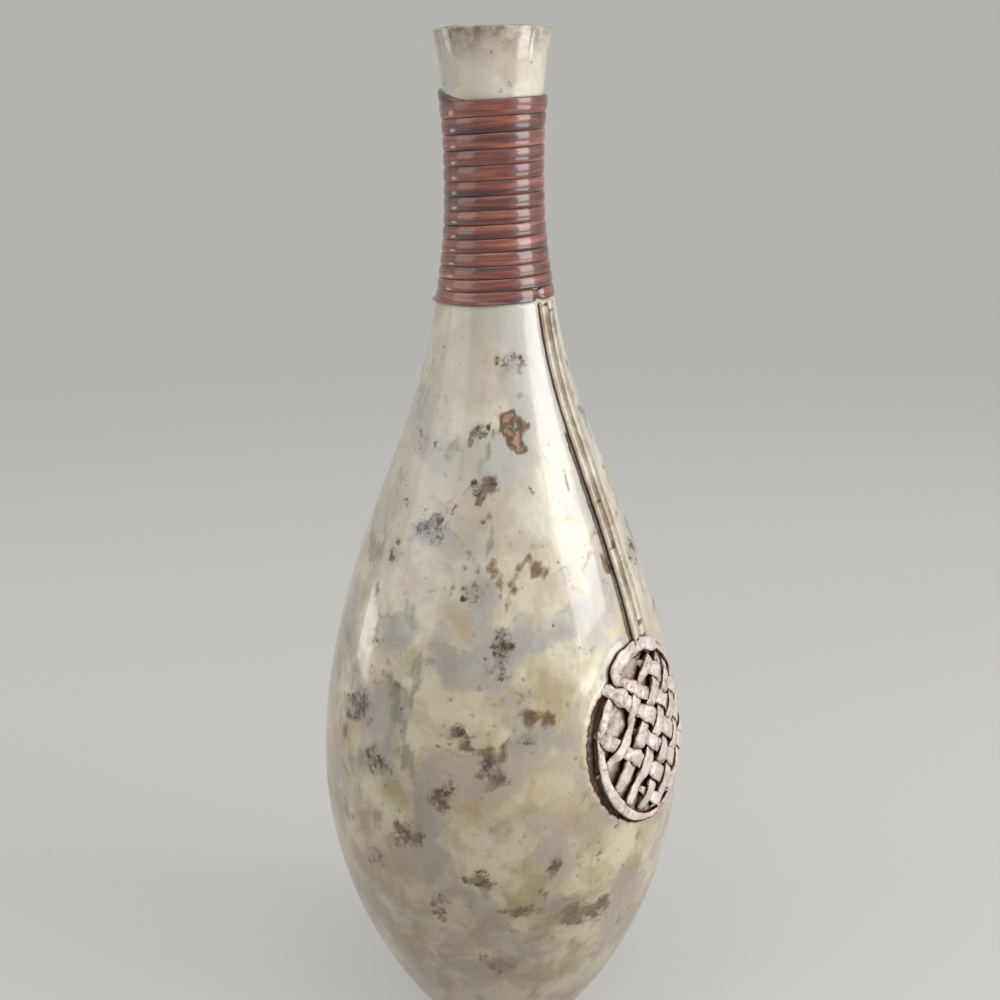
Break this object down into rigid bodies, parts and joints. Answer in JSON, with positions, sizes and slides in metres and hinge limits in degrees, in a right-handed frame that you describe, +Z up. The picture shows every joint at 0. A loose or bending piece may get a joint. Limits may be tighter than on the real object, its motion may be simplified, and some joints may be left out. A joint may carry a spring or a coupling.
{
  "type": "bottle vase",
  "caption": "Slender bottle vase with a flared lip, a cane-bound neck and a pendant knot medallion in relief on the belly.",
  "frame": {"origin": "centre of the resting plane under the foot, on the vase's axis", "axes": "+Z up along the vase's axis, -Y towards the medallion, +X to the right of someone who faces the medallion"},
  "size_m": [0.1828, 0.186, 0.5],
  "materials": {
    "lacquered_ceramic": "gloss lacquer over mottled stone-look paint",
    "washed_ceramic_relief": "gloss lacquer over a dark wash in the recesses",
    "lacquered_cane": "gloss reddish-brown lacquer"
  },
  "bodies": {
    "root": {"vase_shell": "lacquered_ceramic", "pendant_cord_left": "lacquered_ceramic", "pendant_cord_right": "lacquered_ceramic", "medallion_ground": "washed_ceramic_relief", "medallion_rim": "washed_ceramic_relief", "rising_strap_1": "washed_ceramic_relief", "rising_strap_2": "washed_ceramic_relief", "rising_strap_3": "washed_ceramic_relief", "rising_strap_4": "washed_ceramic_relief", "rising_strap_5": "washed_ceramic_relief", "rising_strap_6": "washed_ceramic_relief", "rising_strap_7": "washed_ceramic_relief", "falling_strap_1": "washed_ceramic_relief", "falling_strap_2": "washed_ceramic_relief", "falling_strap_3": "washed_ceramic_relief", "falling_strap_4": "washed_ceramic_relief", "falling_strap_5": "washed_ceramic_relief", "falling_strap_6": "washed_ceramic_relief", "neck_binding": "lacquered_cane", "binding_first_row": "lacquered_cane"}
  },
  "joints": []
}
